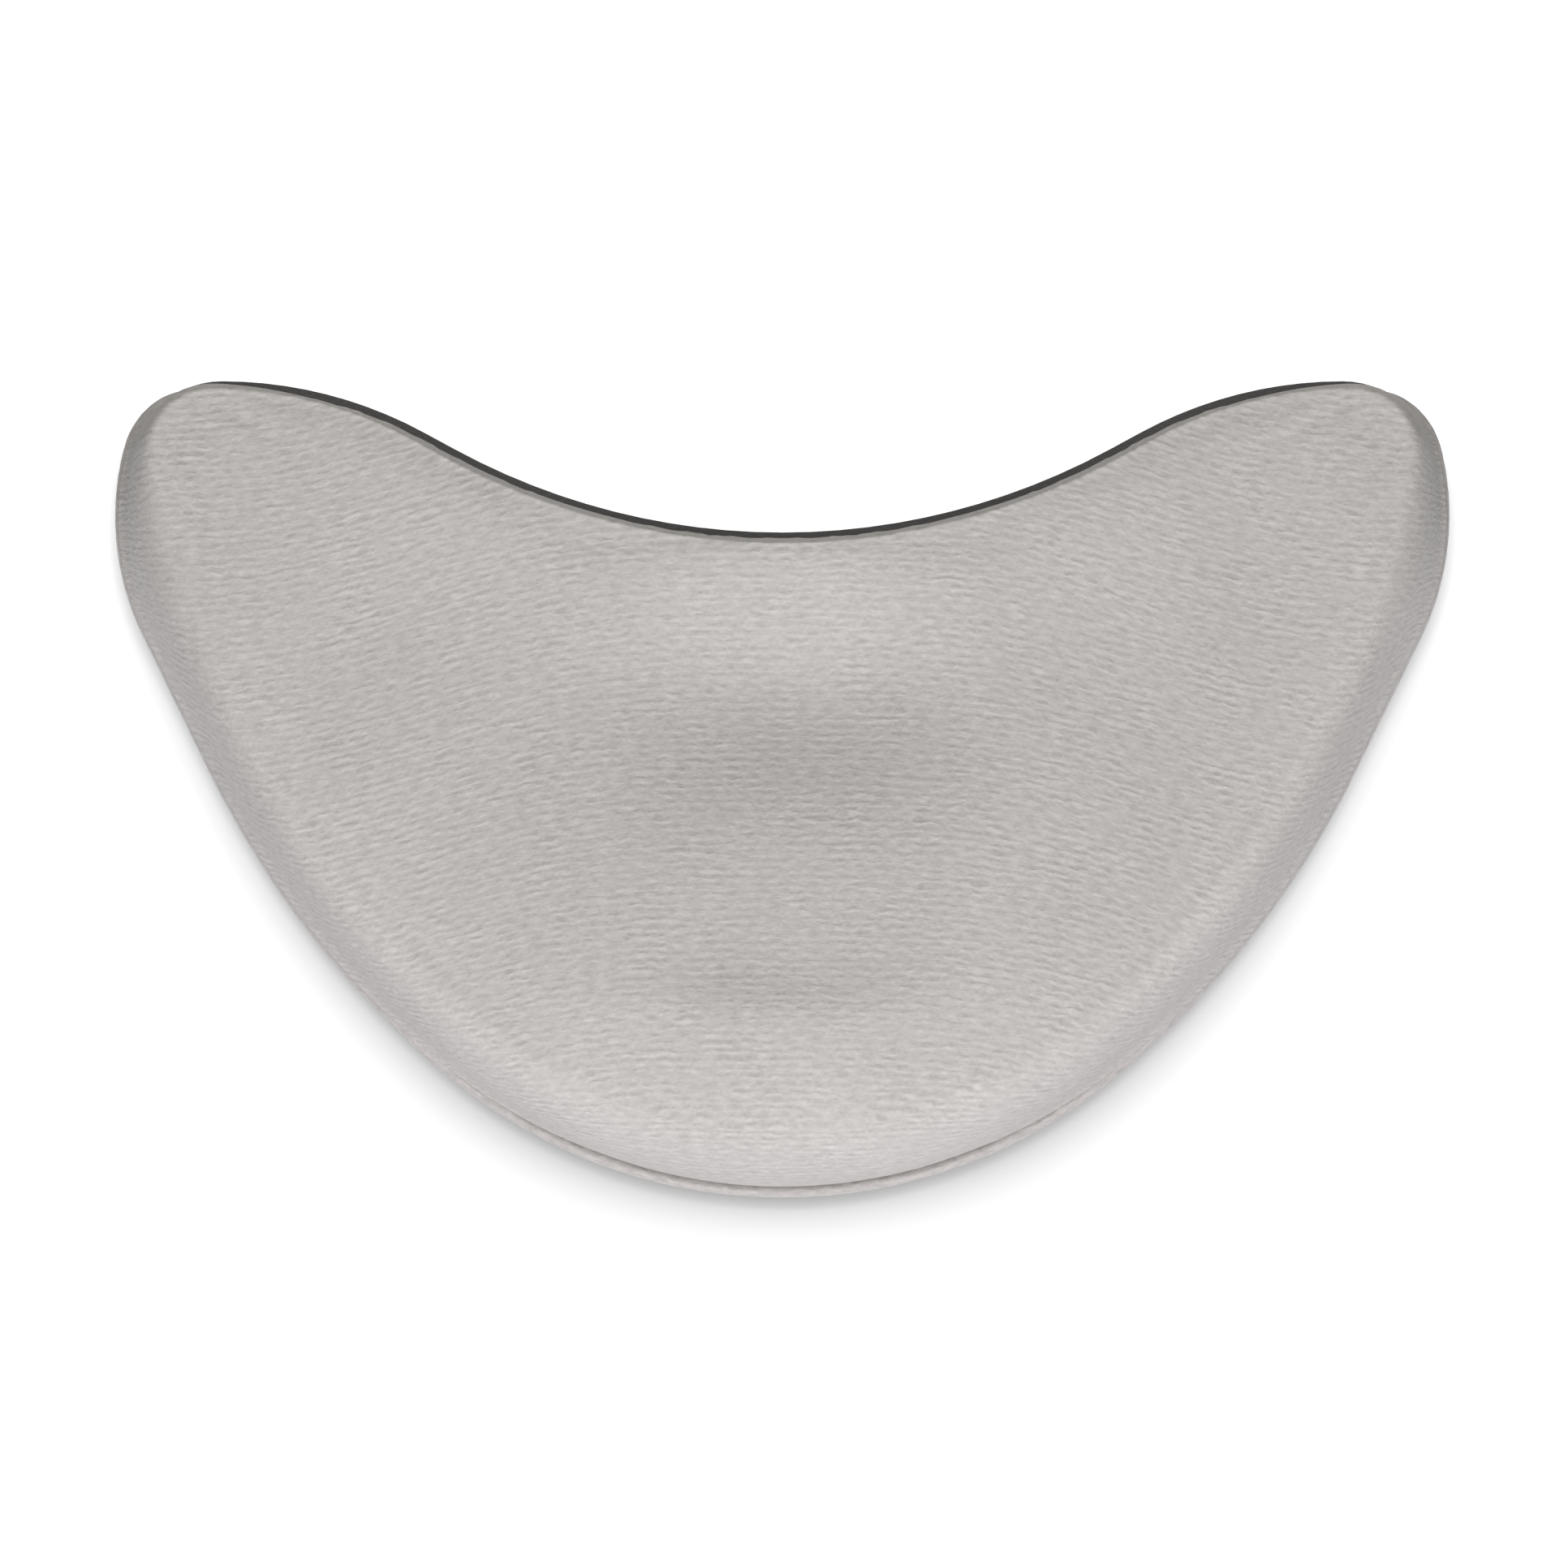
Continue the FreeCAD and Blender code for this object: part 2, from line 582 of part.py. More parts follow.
def make_seam_thread():
    """The stitch line lies in the crease between the cover's wall and the welt, touching both."""
    across = "(dims.welt_radius - dims.thread_radius)"
    reach = "(dims.welt_radius + dims.thread_radius)"
    height = f"{WELT_HEIGHT} + sqrt({reach} * {reach} - {across} * {across})"
    return edge_pipe("seam_thread", "dims.thread_radius", height, "dims.thread_radius")


def check(objects):
    """Stop before writing if any object failed to compute or a sub-part isn't sound."""
    failed = [item.Name for item in doc.Objects if "Invalid" in item.State or "Error" in item.State]
    if failed:
        raise RuntimeError(f"failed objects: {failed}")
    for item in objects:
        if item.Shape.isNull() or not item.Shape.isValid() or not item.Shape.Solids:
            raise RuntimeError(f"unsound sub-part: {item.Label}")


def main():
    outer = dome("cover_outer", "0")
    inner = dome("cover_inner", "dims.skin")
    staples = make_cover_staples()
    core_height = f"dims.core_top - {CARRIER_TOP}"
    nodes = [
        make_under_cover(),
        make_under_cover_screws(),
        make_carrier_plate(staples),
        make_threaded_inserts(),
        foam_slab("foam_core", inner, CARRIER_TOP, core_height),
        foam_slab("comfort_foam", inner, "dims.core_top", "dims.pad_height"),
        cut("cover_top_panel", outer, inner),
        make_cover_hem(staples),
        staples,
        edge_pipe("cover_welt", "dims.welt_radius", WELT_HEIGHT, "dims.welt_radius", "dims.cord_radius"),
        edge_pipe("welt_cord", "dims.welt_radius", WELT_HEIGHT, "dims.cord_radius"),
        make_seam_thread(),
    ]
    doc.recompute()
    check(nodes)
    os.makedirs("parts", exist_ok=True)
    for node in nodes:
        node.Shape.exportStep(f"parts/{node.Label}.step")
        solids = len(node.Shape.Solids)
        print(f"{node.Label}: {solids} solid(s), {node.Shape.Volume:.0f} mm3")


main()
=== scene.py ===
"""Crescent armrest pad: the looks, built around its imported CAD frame.

The script's own lengths are millimetres, turned into metres where a mesh is written. The cover,
the hem, the piping, the seam and the two foams are made here. The shell, the carrier and the
fasteners are the CAD nodes with finished materials.
"""
import math

import bpy
import numpy as np
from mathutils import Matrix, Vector


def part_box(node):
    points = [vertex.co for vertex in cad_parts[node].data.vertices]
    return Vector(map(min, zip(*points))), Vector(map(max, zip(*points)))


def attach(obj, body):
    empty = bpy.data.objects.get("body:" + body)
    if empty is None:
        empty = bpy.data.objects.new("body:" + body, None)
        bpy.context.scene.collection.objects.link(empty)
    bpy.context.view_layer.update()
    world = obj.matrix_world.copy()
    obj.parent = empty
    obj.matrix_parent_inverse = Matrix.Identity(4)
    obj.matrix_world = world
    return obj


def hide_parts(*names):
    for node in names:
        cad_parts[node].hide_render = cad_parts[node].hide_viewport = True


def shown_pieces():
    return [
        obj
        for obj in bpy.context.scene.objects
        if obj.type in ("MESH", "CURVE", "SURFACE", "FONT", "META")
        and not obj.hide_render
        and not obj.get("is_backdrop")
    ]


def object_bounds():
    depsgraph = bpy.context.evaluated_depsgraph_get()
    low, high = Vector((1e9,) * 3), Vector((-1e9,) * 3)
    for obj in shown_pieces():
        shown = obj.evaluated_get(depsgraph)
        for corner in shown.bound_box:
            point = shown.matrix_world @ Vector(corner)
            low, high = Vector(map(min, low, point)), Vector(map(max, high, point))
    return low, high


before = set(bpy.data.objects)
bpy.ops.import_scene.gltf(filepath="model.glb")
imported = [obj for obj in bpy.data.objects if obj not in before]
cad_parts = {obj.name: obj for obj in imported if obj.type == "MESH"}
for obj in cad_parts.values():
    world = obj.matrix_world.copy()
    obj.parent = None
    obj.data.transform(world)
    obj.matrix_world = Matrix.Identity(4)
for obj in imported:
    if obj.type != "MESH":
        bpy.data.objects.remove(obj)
cad_box = [list(corner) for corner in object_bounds()]
MM = 0.001
BODY = "root"


def box_mm(node):
    """Lowest and highest corner of a CAD node, in millimetres."""
    low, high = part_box(node)
    return np.array(low) / MM, np.array(high) / MM


panel_low, panel_high = box_mm("cover_top_panel")
hem_low, hem_high = box_mm("cover_hem")
carrier_top = box_mm("carrier_plate")[1][2]
core_top = box_mm("foam_core")[1][2]
welt_low, welt_high = box_mm("cover_welt")
cord_low, cord_high = box_mm("welt_cord")

# ---------------------------------------------------------------- the cover line

# Right half of the cover line, from the middle of the nose to the middle of the bay. Each stretch
# turns steadily: its radius in millimetres and its turn in degrees. The flank is straight.
NOSE = (92.0, 40.0)
QUARTER = (167.0, 24.0)
FLANK_LENGTH = 27.0
CHEEK = (47.0, 40.0)
TIP = (15.5, 76.0)
CROWN = (75.5, 28.5)
BAY_RADIUS = 126.5
LINE_STEP = 0.02             # arc length between the points of the dense line

FRONT_COLUMNS = 80           # mesh columns along each half of the front and of the rear
TIP_ROWS = 34                # mesh rows round each tip, and so across the top


def arc_length(radius, turn):
    return radius * math.radians(turn)


def walk(link_length):
    """Arc length, heading and points of the right half, by adding up short steps along its heading."""
    lengths = [arc_length(*NOSE), arc_length(*QUARTER), FLANK_LENGTH, arc_length(*CHEEK),
               arc_length(*TIP), arc_length(*CROWN), link_length, arc_length(BAY_RADIUS, CROWN[1])]
    turns = [NOSE[1], QUARTER[1], 0, CHEEK[1], TIP[1], CROWN[1], 0, -CROWN[1]]
    ends = np.concatenate([[0], np.cumsum(lengths)])
    headings = np.radians(np.concatenate([[0], np.cumsum(turns)]))
    count = int(ends[-1] / LINE_STEP) + 1
    station = np.linspace(0, ends[-1], count + 1)
    middle = (station[1:] + station[:-1]) / 2
    direction = np.interp(middle, ends, headings)
    steps = np.stack([np.cos(direction), np.sin(direction)], 1) * (station[1] - station[0])
    points = np.concatenate([[[0, 0]], np.cumsum(steps, 0)])
    return station, np.interp(station, ends, headings), points, ends


def half_line():
    """The right half with the link long enough to end on the middle plane."""
    open_line = walk(0.0)
    link_length = open_line[2][-1, 0] / math.cos(math.radians(CROWN[1]))
    station, heading, points, ends = walk(link_length)
    points[:, 1] += panel_low[1]
    return station, heading, points, ends


dense_station, dense_heading, dense_points, piece_ends = half_line()
cheek_end, tip_end, half_length = piece_ends[4], piece_ends[5], piece_ends[-1]
WELT_TURN = 56.0             # how far the piping runs round each tip, in degrees
WELT_END = cheek_end + arc_length(TIP[0], WELT_TURN)
WELT_TAPER = 14.0            # length over which it narrows to its end


def sample_half(station):
    """Points and outward normals of the right half at these arc lengths."""
    heading = np.interp(station, dense_station, dense_heading)
    point = np.stack([np.interp(station, dense_station, dense_points[:, i]) for i in (0, 1)], 1)
    return point, np.stack([np.sin(heading), -np.cos(heading)], 1)


def closed_loop(columns, rows):
    """The whole cover line: arc length within its half, points and outward normals, anticlockwise."""
    station = np.concatenate([
        np.linspace(0, cheek_end, columns, endpoint=False),
        np.linspace(cheek_end, tip_end, rows, endpoint=False),
        np.linspace(tip_end, half_length, columns + 1)])
    point, normal = sample_half(station)
    flip = np.array([-1, 1])
    back = slice(-2, 0, -1)
    return (np.concatenate([station, station[back]]),
            np.concatenate([point, point[back] * flip]),
            np.concatenate([normal, normal[back] * flip]))


TABLE_COUNT = 600            # points of the smoothed table along the half line
SMOOTH_REACH = 30            # points either way over which it is smoothed


def along(station, nose, flank, cheek, tip, crown, bay):
    """A size that changes smoothly along the half line, from its values at six places."""
    places = [0, (piece_ends[2] + piece_ends[3]) / 2, (piece_ends[3] + cheek_end) / 2,
              (cheek_end + tip_end) / 2, (tip_end + piece_ends[6]) / 2, half_length]
    fine = np.linspace(0, half_length, TABLE_COUNT)
    values = np.interp(fine, places, [nose, flank, cheek, tip, crown, bay])
    window = np.hanning(2 * SMOOTH_REACH + 1)
    padded = np.pad(values, SMOOTH_REACH, mode="reflect")
    smooth = np.convolve(padded, window / window.sum(), mode="valid")
    return np.interp(station, fine, smooth)


# ---------------------------------------------------------------- the form of the cover

RIDGE_Y = -38.6              # where the top is highest, as on the CAD foam
FRONT_CROWN = 62.0           # radius of the top in side view, in front of the ridge
REAR_CROWN = 1300.0          # the same behind the ridge
DISH_WIDE = dict(depth=3.0, middle=16.5, width=62.0, front=28.0, rear=24.0, power=2.0)
DISH_MIDDLE = dict(depth=3.7, middle=18.0, width=30.0, front=18.0, rear=17.0, power=2.6)
DISH_CURVE = 520.0           # the larger, the straighter the hollows run across the pad
STEP_Y = -36.2               # low step behind the ridge, where the soft foam meets the front roll
STEP_HEIGHT = 1.6
STEP_SOFTNESS = 2.4
STEP_WIDTH = 24.0
STEP_CURVE = 260.0           # the step curves back away from the middle plane
SECTION_POWER = 2.3          # squareness of the rolled edge: 2 is an ellipse
FOOT_HEIGHT = hem_high[2] - 0.1
FOOT_RISE = (1.1, 1.7)       # how much higher it stands on the piping, at the nose and elsewhere
FLARE_REACH = 2.4            # how far the foot leans out over the piping
FLARE_HEIGHT = 2.4           # and how quickly that dies away upwards
NOSE_FADE = (35.0, 90.0)     # arc lengths between which the seam sinks under the cover
EDGE_ANGLES = (0, 2, 4.5, 8, 12, 17, 23, 30, 39, 50, 62, 76, 90)
INNER_STEPS = (0.5, 1.3, 2.6)  # rings on the top, inside the rolled edge, that keep it tight


def hollow(x, y, depth, middle, width, front, rear, power):
    """Depth of a hollow whose middle line curves back with the bay."""
    past = y - middle - x ** 2 / DISH_CURVE
    reach = np.where(past > 0, rear, front)
    return depth * np.exp(-np.abs(x / width) ** power - (past / reach) ** 2)


def top_height(x, y):
    """Height of the top above the underside, without the rolled edge."""
    ahead = np.clip(RIDGE_Y - y, 0, 0.95 * FRONT_CROWN)
    behind = np.clip(y - RIDGE_Y, 0, None)
    drop = FRONT_CROWN - np.sqrt(FRONT_CROWN ** 2 - ahead ** 2) + behind ** 2 / (2 * REAR_CROWN)
    behind_step = y - STEP_Y - x ** 2 / STEP_CURVE
    step = STEP_HEIGHT / (1 + np.exp(-behind_step / STEP_SOFTNESS)) * np.exp(-(x / STEP_WIDTH) ** 4)
    return panel_high[2] - drop - step - hollow(x, y, **DISH_WIDE) - hollow(x, y, **DISH_MIDDLE)


def roll_width(station):
    """Width of the rounding at the top of the wall."""
    return along(station, nose=11, flank=6.5, cheek=8, tip=2.8, crown=0.5, bay=0.5)


def wall_lean(station):
    """How far the wall leans inwards on its way up."""
    return along(station, nose=0.2, flank=2.8, cheek=3.5, tip=-1.7, crown=0.0, bay=0.1)


def foot_inset(station):
    """How far the foot of the cover's wall stands inside the cover line."""
    return along(station, nose=-0.5, flank=-0.4, cheek=-0.4, tip=-0.5, crown=0.3, bay=0.1)


def over_piping(station):
    """1 where the foot stands on the piping, easing to 0 where the piping ends."""
    share = np.clip((WELT_END - station) / WELT_TAPER, 0, 1)
    return share * share * (3 - 2 * share)


def foot_height(station):
    """Height of the wall's lower edge above the underside."""
    return FOOT_HEIGHT + np.interp(station, NOSE_FADE, FOOT_RISE) * over_piping(station)


def flare(station):
    """How far the foot leans out: little at the nose, where the seam shows."""
    places = [*NOSE_FADE, cheek_end - 12, cheek_end + 6]
    return FLARE_REACH * np.interp(station, places, [0.25, 1.0, 1.0, 0.85]) * over_piping(station)


def wall_ring(station, line, normal, angle):
    """One ring of the rolled edge, at this section angle."""
    across, up = section(angle)
    foot = foot_height(station)
    inset = foot_inset(station) + up ** 1.5 * wall_lean(station) + across * roll_width(station)
    plan = line - normal * inset[:, None]
    height = foot + (top_height(plan[:, 0], plan[:, 1]) - foot) * up
    reach = flare(station) * np.exp(-(height - foot) / FLARE_HEIGHT)
    return plan + normal * reach[:, None], height


def section(angle):
    """Rolled edge from its foot, at 0, to the top, at a right angle: share of its width and height."""
    power = 2 / SECTION_POWER
    return 1 - np.cos(angle) ** power, np.sin(angle) ** power


# ---------------------------------------------------------------- meshes

RELAX_ROUNDS = 80            # evens out a filled ring's grid, which starts cramped at its corners


def raised(plan, height):
    """Points over this plan, at the height found from x and y."""
    return np.column_stack([plan, height(plan[:, 0], plan[:, 1])])


class Surface:
    """Vertices and faces, gathered ring by ring."""

    def __init__(self):
        self.points, self.faces, self.count = [], [], 0

    def add(self, points):
        """Store these points and return their numbers."""
        start = self.count
        self.points.append(np.asarray(points, float))
        self.count += len(points)
        return np.arange(start, self.count)

    def join(self, lower, upper, flip=False):
        """Quads between two closed rings."""
        quads = np.stack([lower, np.roll(lower, -1), np.roll(upper, -1), upper], 1)
        self.faces.extend((quads[:, ::-1] if flip else quads).tolist())

    def tube(self, rings):
        """A closed tube through these rings, each counted clockwise as seen from the next."""
        for low, high in zip(rings, rings[1:]):
            self.join(low, high, flip=True)
        self.faces.append(rings[0].tolist())
        self.faces.append(rings[-1][::-1].tolist())

    def cap(self, ring, columns, rows, height, flip=False):
        """Fill a ring with a grid whose sides are the front, the rear and the two tips."""
        size = 4 * columns + 2 * rows
        corner = columns + rows
        front = ring[(np.arange(2 * columns + 1) - columns) % size]
        rear = ring[np.arange(corner + 2 * columns, corner - 1, -1)]
        left = ring[(size - columns - np.arange(rows + 1)) % size]
        right = ring[columns + np.arange(rows + 1)]
        placed = np.concatenate(self.points)[:, :2]
        u = np.linspace(0, 1, 2 * columns + 1)[None, :, None]
        v = np.linspace(0, 1, rows + 1)[:, None, None]
        inside = ((1 - v) * placed[front][None] + v * placed[rear][None]
                  + (1 - u) * placed[left][:, None] + u * placed[right][:, None]
                  - (1 - u) * (1 - v) * placed[front[0]] - u * (1 - v) * placed[front[-1]]
                  - (1 - u) * v * placed[rear[0]] - u * v * placed[rear[-1]])
        for _ in range(RELAX_ROUNDS):
            beside = inside[:-2, 1:-1] + inside[2:, 1:-1] + inside[1:-1, :-2] + inside[1:-1, 2:]
            inside[1:-1, 1:-1] = beside / 4
        plan = inside[1:-1, 1:-1].reshape(-1, 2)
        new = self.add(raised(plan, height))
        grid = np.zeros((rows + 1, 2 * columns + 1), int)
        grid[0], grid[-1], grid[:, 0], grid[:, -1] = front, rear, left, right
        grid[1:-1, 1:-1] = new.reshape(rows - 1, 2 * columns - 1)
        corners = [grid[:-1, :-1], grid[:-1, 1:], grid[1:, 1:], grid[1:, :-1]]
        quads = np.stack(corners, -1).reshape(-1, 4)
        self.faces.extend((quads[:, ::-1] if flip else quads).tolist())

    def build(self, name):
        """The piece, smooth shaded, in metres."""
        mesh = bpy.data.meshes.new(name)
        mesh.from_pydata(np.concatenate(self.points) * MM, [], self.faces)
        mesh.validate()
        mesh.polygons.foreach_set("use_smooth", [True] * len(mesh.polygons))
        piece = bpy.data.objects.new(name, mesh)
        bpy.context.scene.collection.objects.link(piece)
        return piece


# ---------------------------------------------------------------- the lie of the knit

KNIT_TILT = 0.30             # steepest slope of a course, where it climbs towards the middle
KNIT_SPAN = 130.0            # half width over which courses rise and level out again


def course_rise(x):
    """How much lower a course lies at x than at the middle."""
    table = np.linspace(0, KNIT_SPAN, 200)
    slope = KNIT_TILT * np.sin(np.pi * table / KNIT_SPAN) ** 3
    rise = np.concatenate([[0], np.cumsum((slope[1:] + slope[:-1]) / 2) * (table[1] - table[0])])
    return np.interp(np.abs(x), table, rise)


def lay_knit(piece, flat):
    """Store each vertex's place in the unrolled cloth, along and across the courses, in mm."""
    attribute = piece.data.attributes.new("cloth", "FLOAT_VECTOR", "POINT")
    cloth = np.column_stack([flat, np.zeros(len(flat))])
    attribute.data.foreach_set("vector", cloth.astype(np.float32).ravel())


def lay_arched_knit(piece, flat):
    """The same for knit whose courses climb towards the middle of the pad."""
    lay_knit(piece, np.column_stack([flat[:, 0], flat[:, 1] + course_rise(flat[:, 0])]))


# ---------------------------------------------------------------- cover

COVER_THICKNESS = 0.8
SIM_FRAMES = 20
SIM_SHRINK = 0.3             # the form starts this far inside its place and swells out again
SIM_SLIDE = 0.3              # no point slides further than this along the cover
SIM_SINK = 0.12              # nor settles further inwards than this
SIM_SWELL = 0.35             # nor swells further outwards
FOLD_DEPTH = 0.28
FOLD_PITCH = 3.1
FOLD_REACH = 9.0             # arc length over which the folds fade, either way
FOLD_OFFSET = 3.0            # they are deepest this far past the middle of the tip
FOLD_HEIGHT = 6.0            # and fade upwards over this height
TUCK = 0.5                   # how much further than its thickness the foot turns in


def gathers(station, height):
    """Small upright folds where the cloth is gathered round each tip, deepest at the foot."""
    centre = (cheek_end + tip_end) / 2
    window = np.exp(-((station - centre - FOLD_OFFSET) / FOLD_REACH) ** 2)
    fade = np.exp(-(height - FOOT_HEIGHT) / FOLD_HEIGHT)
    return FOLD_DEPTH * window * fade * np.cos(2 * np.pi * (station - centre) / FOLD_PITCH)


def cover_surface():
    """The outside of the cover: a turned-in foot, the rolled edge and the dished top.

    Comes with each vertex's place in the flat cloth, and the rings from the foot upwards.
    """
    station, line, normal = closed_loop(FRONT_COLUMNS, TIP_ROWS)
    surface = Surface()
    rings = []
    for angle in np.radians(EDGE_ANGLES):
        plan, height = wall_ring(station, line, normal, angle)
        if not rings:
            tuck = plan - normal * (COVER_THICKNESS + TUCK)
            rings.append(surface.add(np.column_stack([tuck, height + 0.1])))
        plan = plan - normal * gathers(station, height)[:, None]
        rings.append(surface.add(np.column_stack([plan, height])))
    for step in INNER_STEPS:
        rings.append(surface.add(raised(plan - normal * step, top_height)))
    for lower, upper in zip(rings, rings[1:]):
        surface.join(lower, upper)
    surface.cap(rings[-1], FRONT_COLUMNS, TIP_ROWS, top_height)
    points = np.concatenate(surface.points)
    flat = points[:, :2].copy()
    run = np.zeros(len(line))
    for outer, inner in reversed(list(zip(rings, rings[1:]))):
        run = run + np.linalg.norm(points[outer] - points[inner], axis=1)
        flat[outer] = points[rings[-1], :2] + normal * run[:, None]
    return surface, flat, rings


def eased(value, limit):
    """The value held smoothly below the limit."""
    return limit * np.tanh(value / limit)


def settle(moved, target, normals):
    """Keep the cloth's relief within a short distance of the form, inwards, outwards and sideways."""
    shift = (moved - target) / MM
    depth = (shift * normals).sum(1, keepdims=True)
    slide = shift - depth * normals
    length = np.linalg.norm(slide, axis=1, keepdims=True)
    slide *= eased(length, SIM_SLIDE) / np.maximum(length, 1e-9)
    depth = np.where(depth > 0, eased(depth, SIM_SWELL), eased(depth, SIM_SINK))
    return target + (slide + depth * normals) * MM


def read_vertices(mesh, name):
    values = np.empty(len(mesh.vertices) * 3)
    mesh.vertices.foreach_get(name, values)
    return values.reshape(-1, 3)


def swell(piece, pinned):
    """Blow the cover up a little as cloth under pressure, held at its foot, and keep the result."""
    mesh = piece.data
    target, normals = read_vertices(mesh, "co"), read_vertices(mesh, "normal")
    start = target - normals * SIM_SHRINK * MM
    start[pinned] = target[pinned]
    mesh.vertices.foreach_set("co", start.ravel())
    group = piece.vertex_groups.new(name="held")
    group.add([int(index) for index in pinned], 1.0, "REPLACE")
    cloth = piece.modifiers.new("cloth", "CLOTH")
    settings = cloth.settings
    settings.quality = 4
    settings.mass = 0.2
    settings.tension_stiffness = 30
    settings.compression_stiffness = 30
    settings.shear_stiffness = 20
    settings.bending_stiffness = 2
    settings.vertex_group_mass = "held"
    settings.use_pressure = True
    settings.uniform_pressure_force = 4
    settings.effector_weights.gravity = 0
    cloth.collision_settings.use_collision = False
    cloth.point_cache.frame_end = SIM_FRAMES
    scene = bpy.context.scene
    for step in range(1, SIM_FRAMES + 1):
        scene.frame_set(step)
    evaluated = piece.evaluated_get(bpy.context.evaluated_depsgraph_get())
    moved = read_vertices(evaluated.data, "co")
    piece.modifiers.remove(cloth)
    piece.vertex_groups.clear()
    scene.frame_set(1)
    mesh.vertices.foreach_set("co", settle(moved, target, normals).ravel())


def apply_modifier(piece, name, kind, **settings):
    modifier = piece.modifiers.new(name, kind)
    for key, value in settings.items():
        setattr(modifier, key, value)
    bpy.context.view_layer.objects.active = piece
    bpy.ops.object.modifier_apply(modifier=modifier.name)


def make_cover():
    surface, flat, rings = cover_surface()
    piece = surface.build("cover_knit_panel")
    lay_arched_knit(piece, flat)
    swell(piece, np.concatenate([rings[0], rings[1]]))
    apply_modifier(piece, "finer", "SUBSURF", levels=1, render_levels=1)
    apply_modifier(piece, "thickness", "SOLIDIFY", thickness=COVER_THICKNESS * MM, offset=-1)
    return piece


# ---------------------------------------------------------------- hem, piping and seam

BEAD = (hem_high[2] - hem_low[2]) / 2      # the folded edge of the hem is half round
HEM_WIDTH = 11.0
BEAD_STEPS = 7


def bead_inset(station):
    """How far the hem's outermost edge stands inside the cover line."""
    return along(station, nose=0.5, flank=0.5, cheek=0.5, tip=0.4, crown=-0.15, bay=-0.45)


def make_hem():
    """The turned-under allowance: a flat ring with a half-round outer fold."""
    station, line, normal = closed_loop(FRONT_COLUMNS, TIP_ROWS)
    surface = Surface()
    edge = bead_inset(station)
    middle = (hem_low[2] + hem_high[2]) / 2
    ripple = 0.08 * np.sin(2 * np.pi * station / 7.3) + 0.05 * np.sin(2 * np.pi * station / 2.9)
    profile = [(HEM_WIDTH, -BEAD)]
    for angle in np.linspace(-np.pi / 2, np.pi / 2, BEAD_STEPS):
        profile.append((BEAD - BEAD * math.cos(angle), BEAD * math.sin(angle)))
    profile.append((HEM_WIDTH, BEAD))
    rings = []
    for inset, rise in profile:
        follow = 0 if inset == HEM_WIDTH else 1
        offset = inset + follow * (edge + ripple)
        plan = line - normal * offset[:, None]
        rings.append(surface.add(np.column_stack([plan, np.full(len(line), middle + rise)])))
    for lower, upper in zip(rings, rings[1:] + rings[:1]):
        surface.join(lower, upper)
    piece = surface.build("cover_knit_hem")
    points = np.concatenate(surface.points)
    flat = points[:, :2].copy()
    flat[:, 1] += points[:, 2]
    lay_arched_knit(piece, flat)
    return piece


def strand_path(step, spare=0.0):
    """Arc lengths from one end of the piping to the other: negative on the left half."""
    end = WELT_END - spare
    count = int(round(2 * end / step))
    return np.linspace(-end, end, count + 1)


def line_at(station):
    """Points and outward normals on both halves, for arc lengths counted from the middle of the nose."""
    point, normal = sample_half(np.abs(station))
    side = np.sign(station + 1e-9)
    point[:, 0] *= side
    normal[:, 0] *= side
    return point, normal


def taper(station):
    """1 along the piping, falling towards 0 at its two ends."""
    rest = np.clip((WELT_END - np.abs(station)) / WELT_TAPER, 0, 1)
    return np.sqrt(np.clip(1 - (1 - rest) ** 2, 0, 1))


def strand(name, station, centre, radii, sides, knit=False):
    """A strand along centre (points in mm); radii(angle) gives its section at every station."""
    surface = Surface()
    tangent = np.gradient(centre, axis=0)
    tangent /= np.linalg.norm(tangent, axis=1, keepdims=True)
    up = np.array([0, 0, 1.0])
    out = np.cross(tangent, up)
    out /= np.linalg.norm(out, axis=1, keepdims=True)
    lift = np.cross(out, tangent)
    angles = np.linspace(0, 2 * np.pi, sides, endpoint=False)
    lines = []
    for angle in angles:
        radius = radii(angle)[:, None]
        lines.append(centre + out * radius * np.cos(angle) + lift * radius * np.sin(angle))
    surface.tube([surface.add(ring) for ring in np.stack(lines, 1)])
    piece = surface.build(name)
    if knit:
        around = np.tile(angles * radii(0.0).mean(), len(station))
        lay_knit(piece, np.column_stack([np.repeat(station, sides), around]))
    return piece


WELT_RADIUS = (welt_high[2] - welt_low[2]) / 2
WELT_PITCH = 0.9             # between the rings of the sleeve
WELT_SIDES = 16
WELT_END_SIZE = 0.25         # share of its radius left at its ends
WELT_TUCK = 0.35             # and how far inside the cover line they lie, in radii
WELT_SQUASH = 0.06           # share by which it is narrower across and taller upright


def make_welt():
    """The knit sleeve of the piping, tapering and tucked in where it ends at the tips."""
    station = strand_path(WELT_PITCH)
    line, normal = line_at(station)
    fullness = taper(station)
    size = WELT_END_SIZE + (1 - WELT_END_SIZE) * fullness
    outset = WELT_RADIUS * ((1 + WELT_TUCK) * fullness - WELT_TUCK)
    height = welt_low[2] + WELT_RADIUS * size
    centre = np.column_stack([line + normal * outset[:, None], height])
    ripple = 0.02 * np.sin(station * 2.3) * np.sin(station * 0.61 + 1)
    lump = 1 + ripple + 0.015 * np.sin(station * 0.17)

    def radii(angle):
        return WELT_RADIUS * size * lump * (1 - WELT_SQUASH * math.cos(2 * angle))
    return strand("cover_piping_sleeve", station, centre, radii, WELT_SIDES, knit=True)


CORD_PITCH = 0.5             # between the rings of the cord
CORD_SIDES = 24
PLY_TWIST = 1.4              # arc length per radian of twist


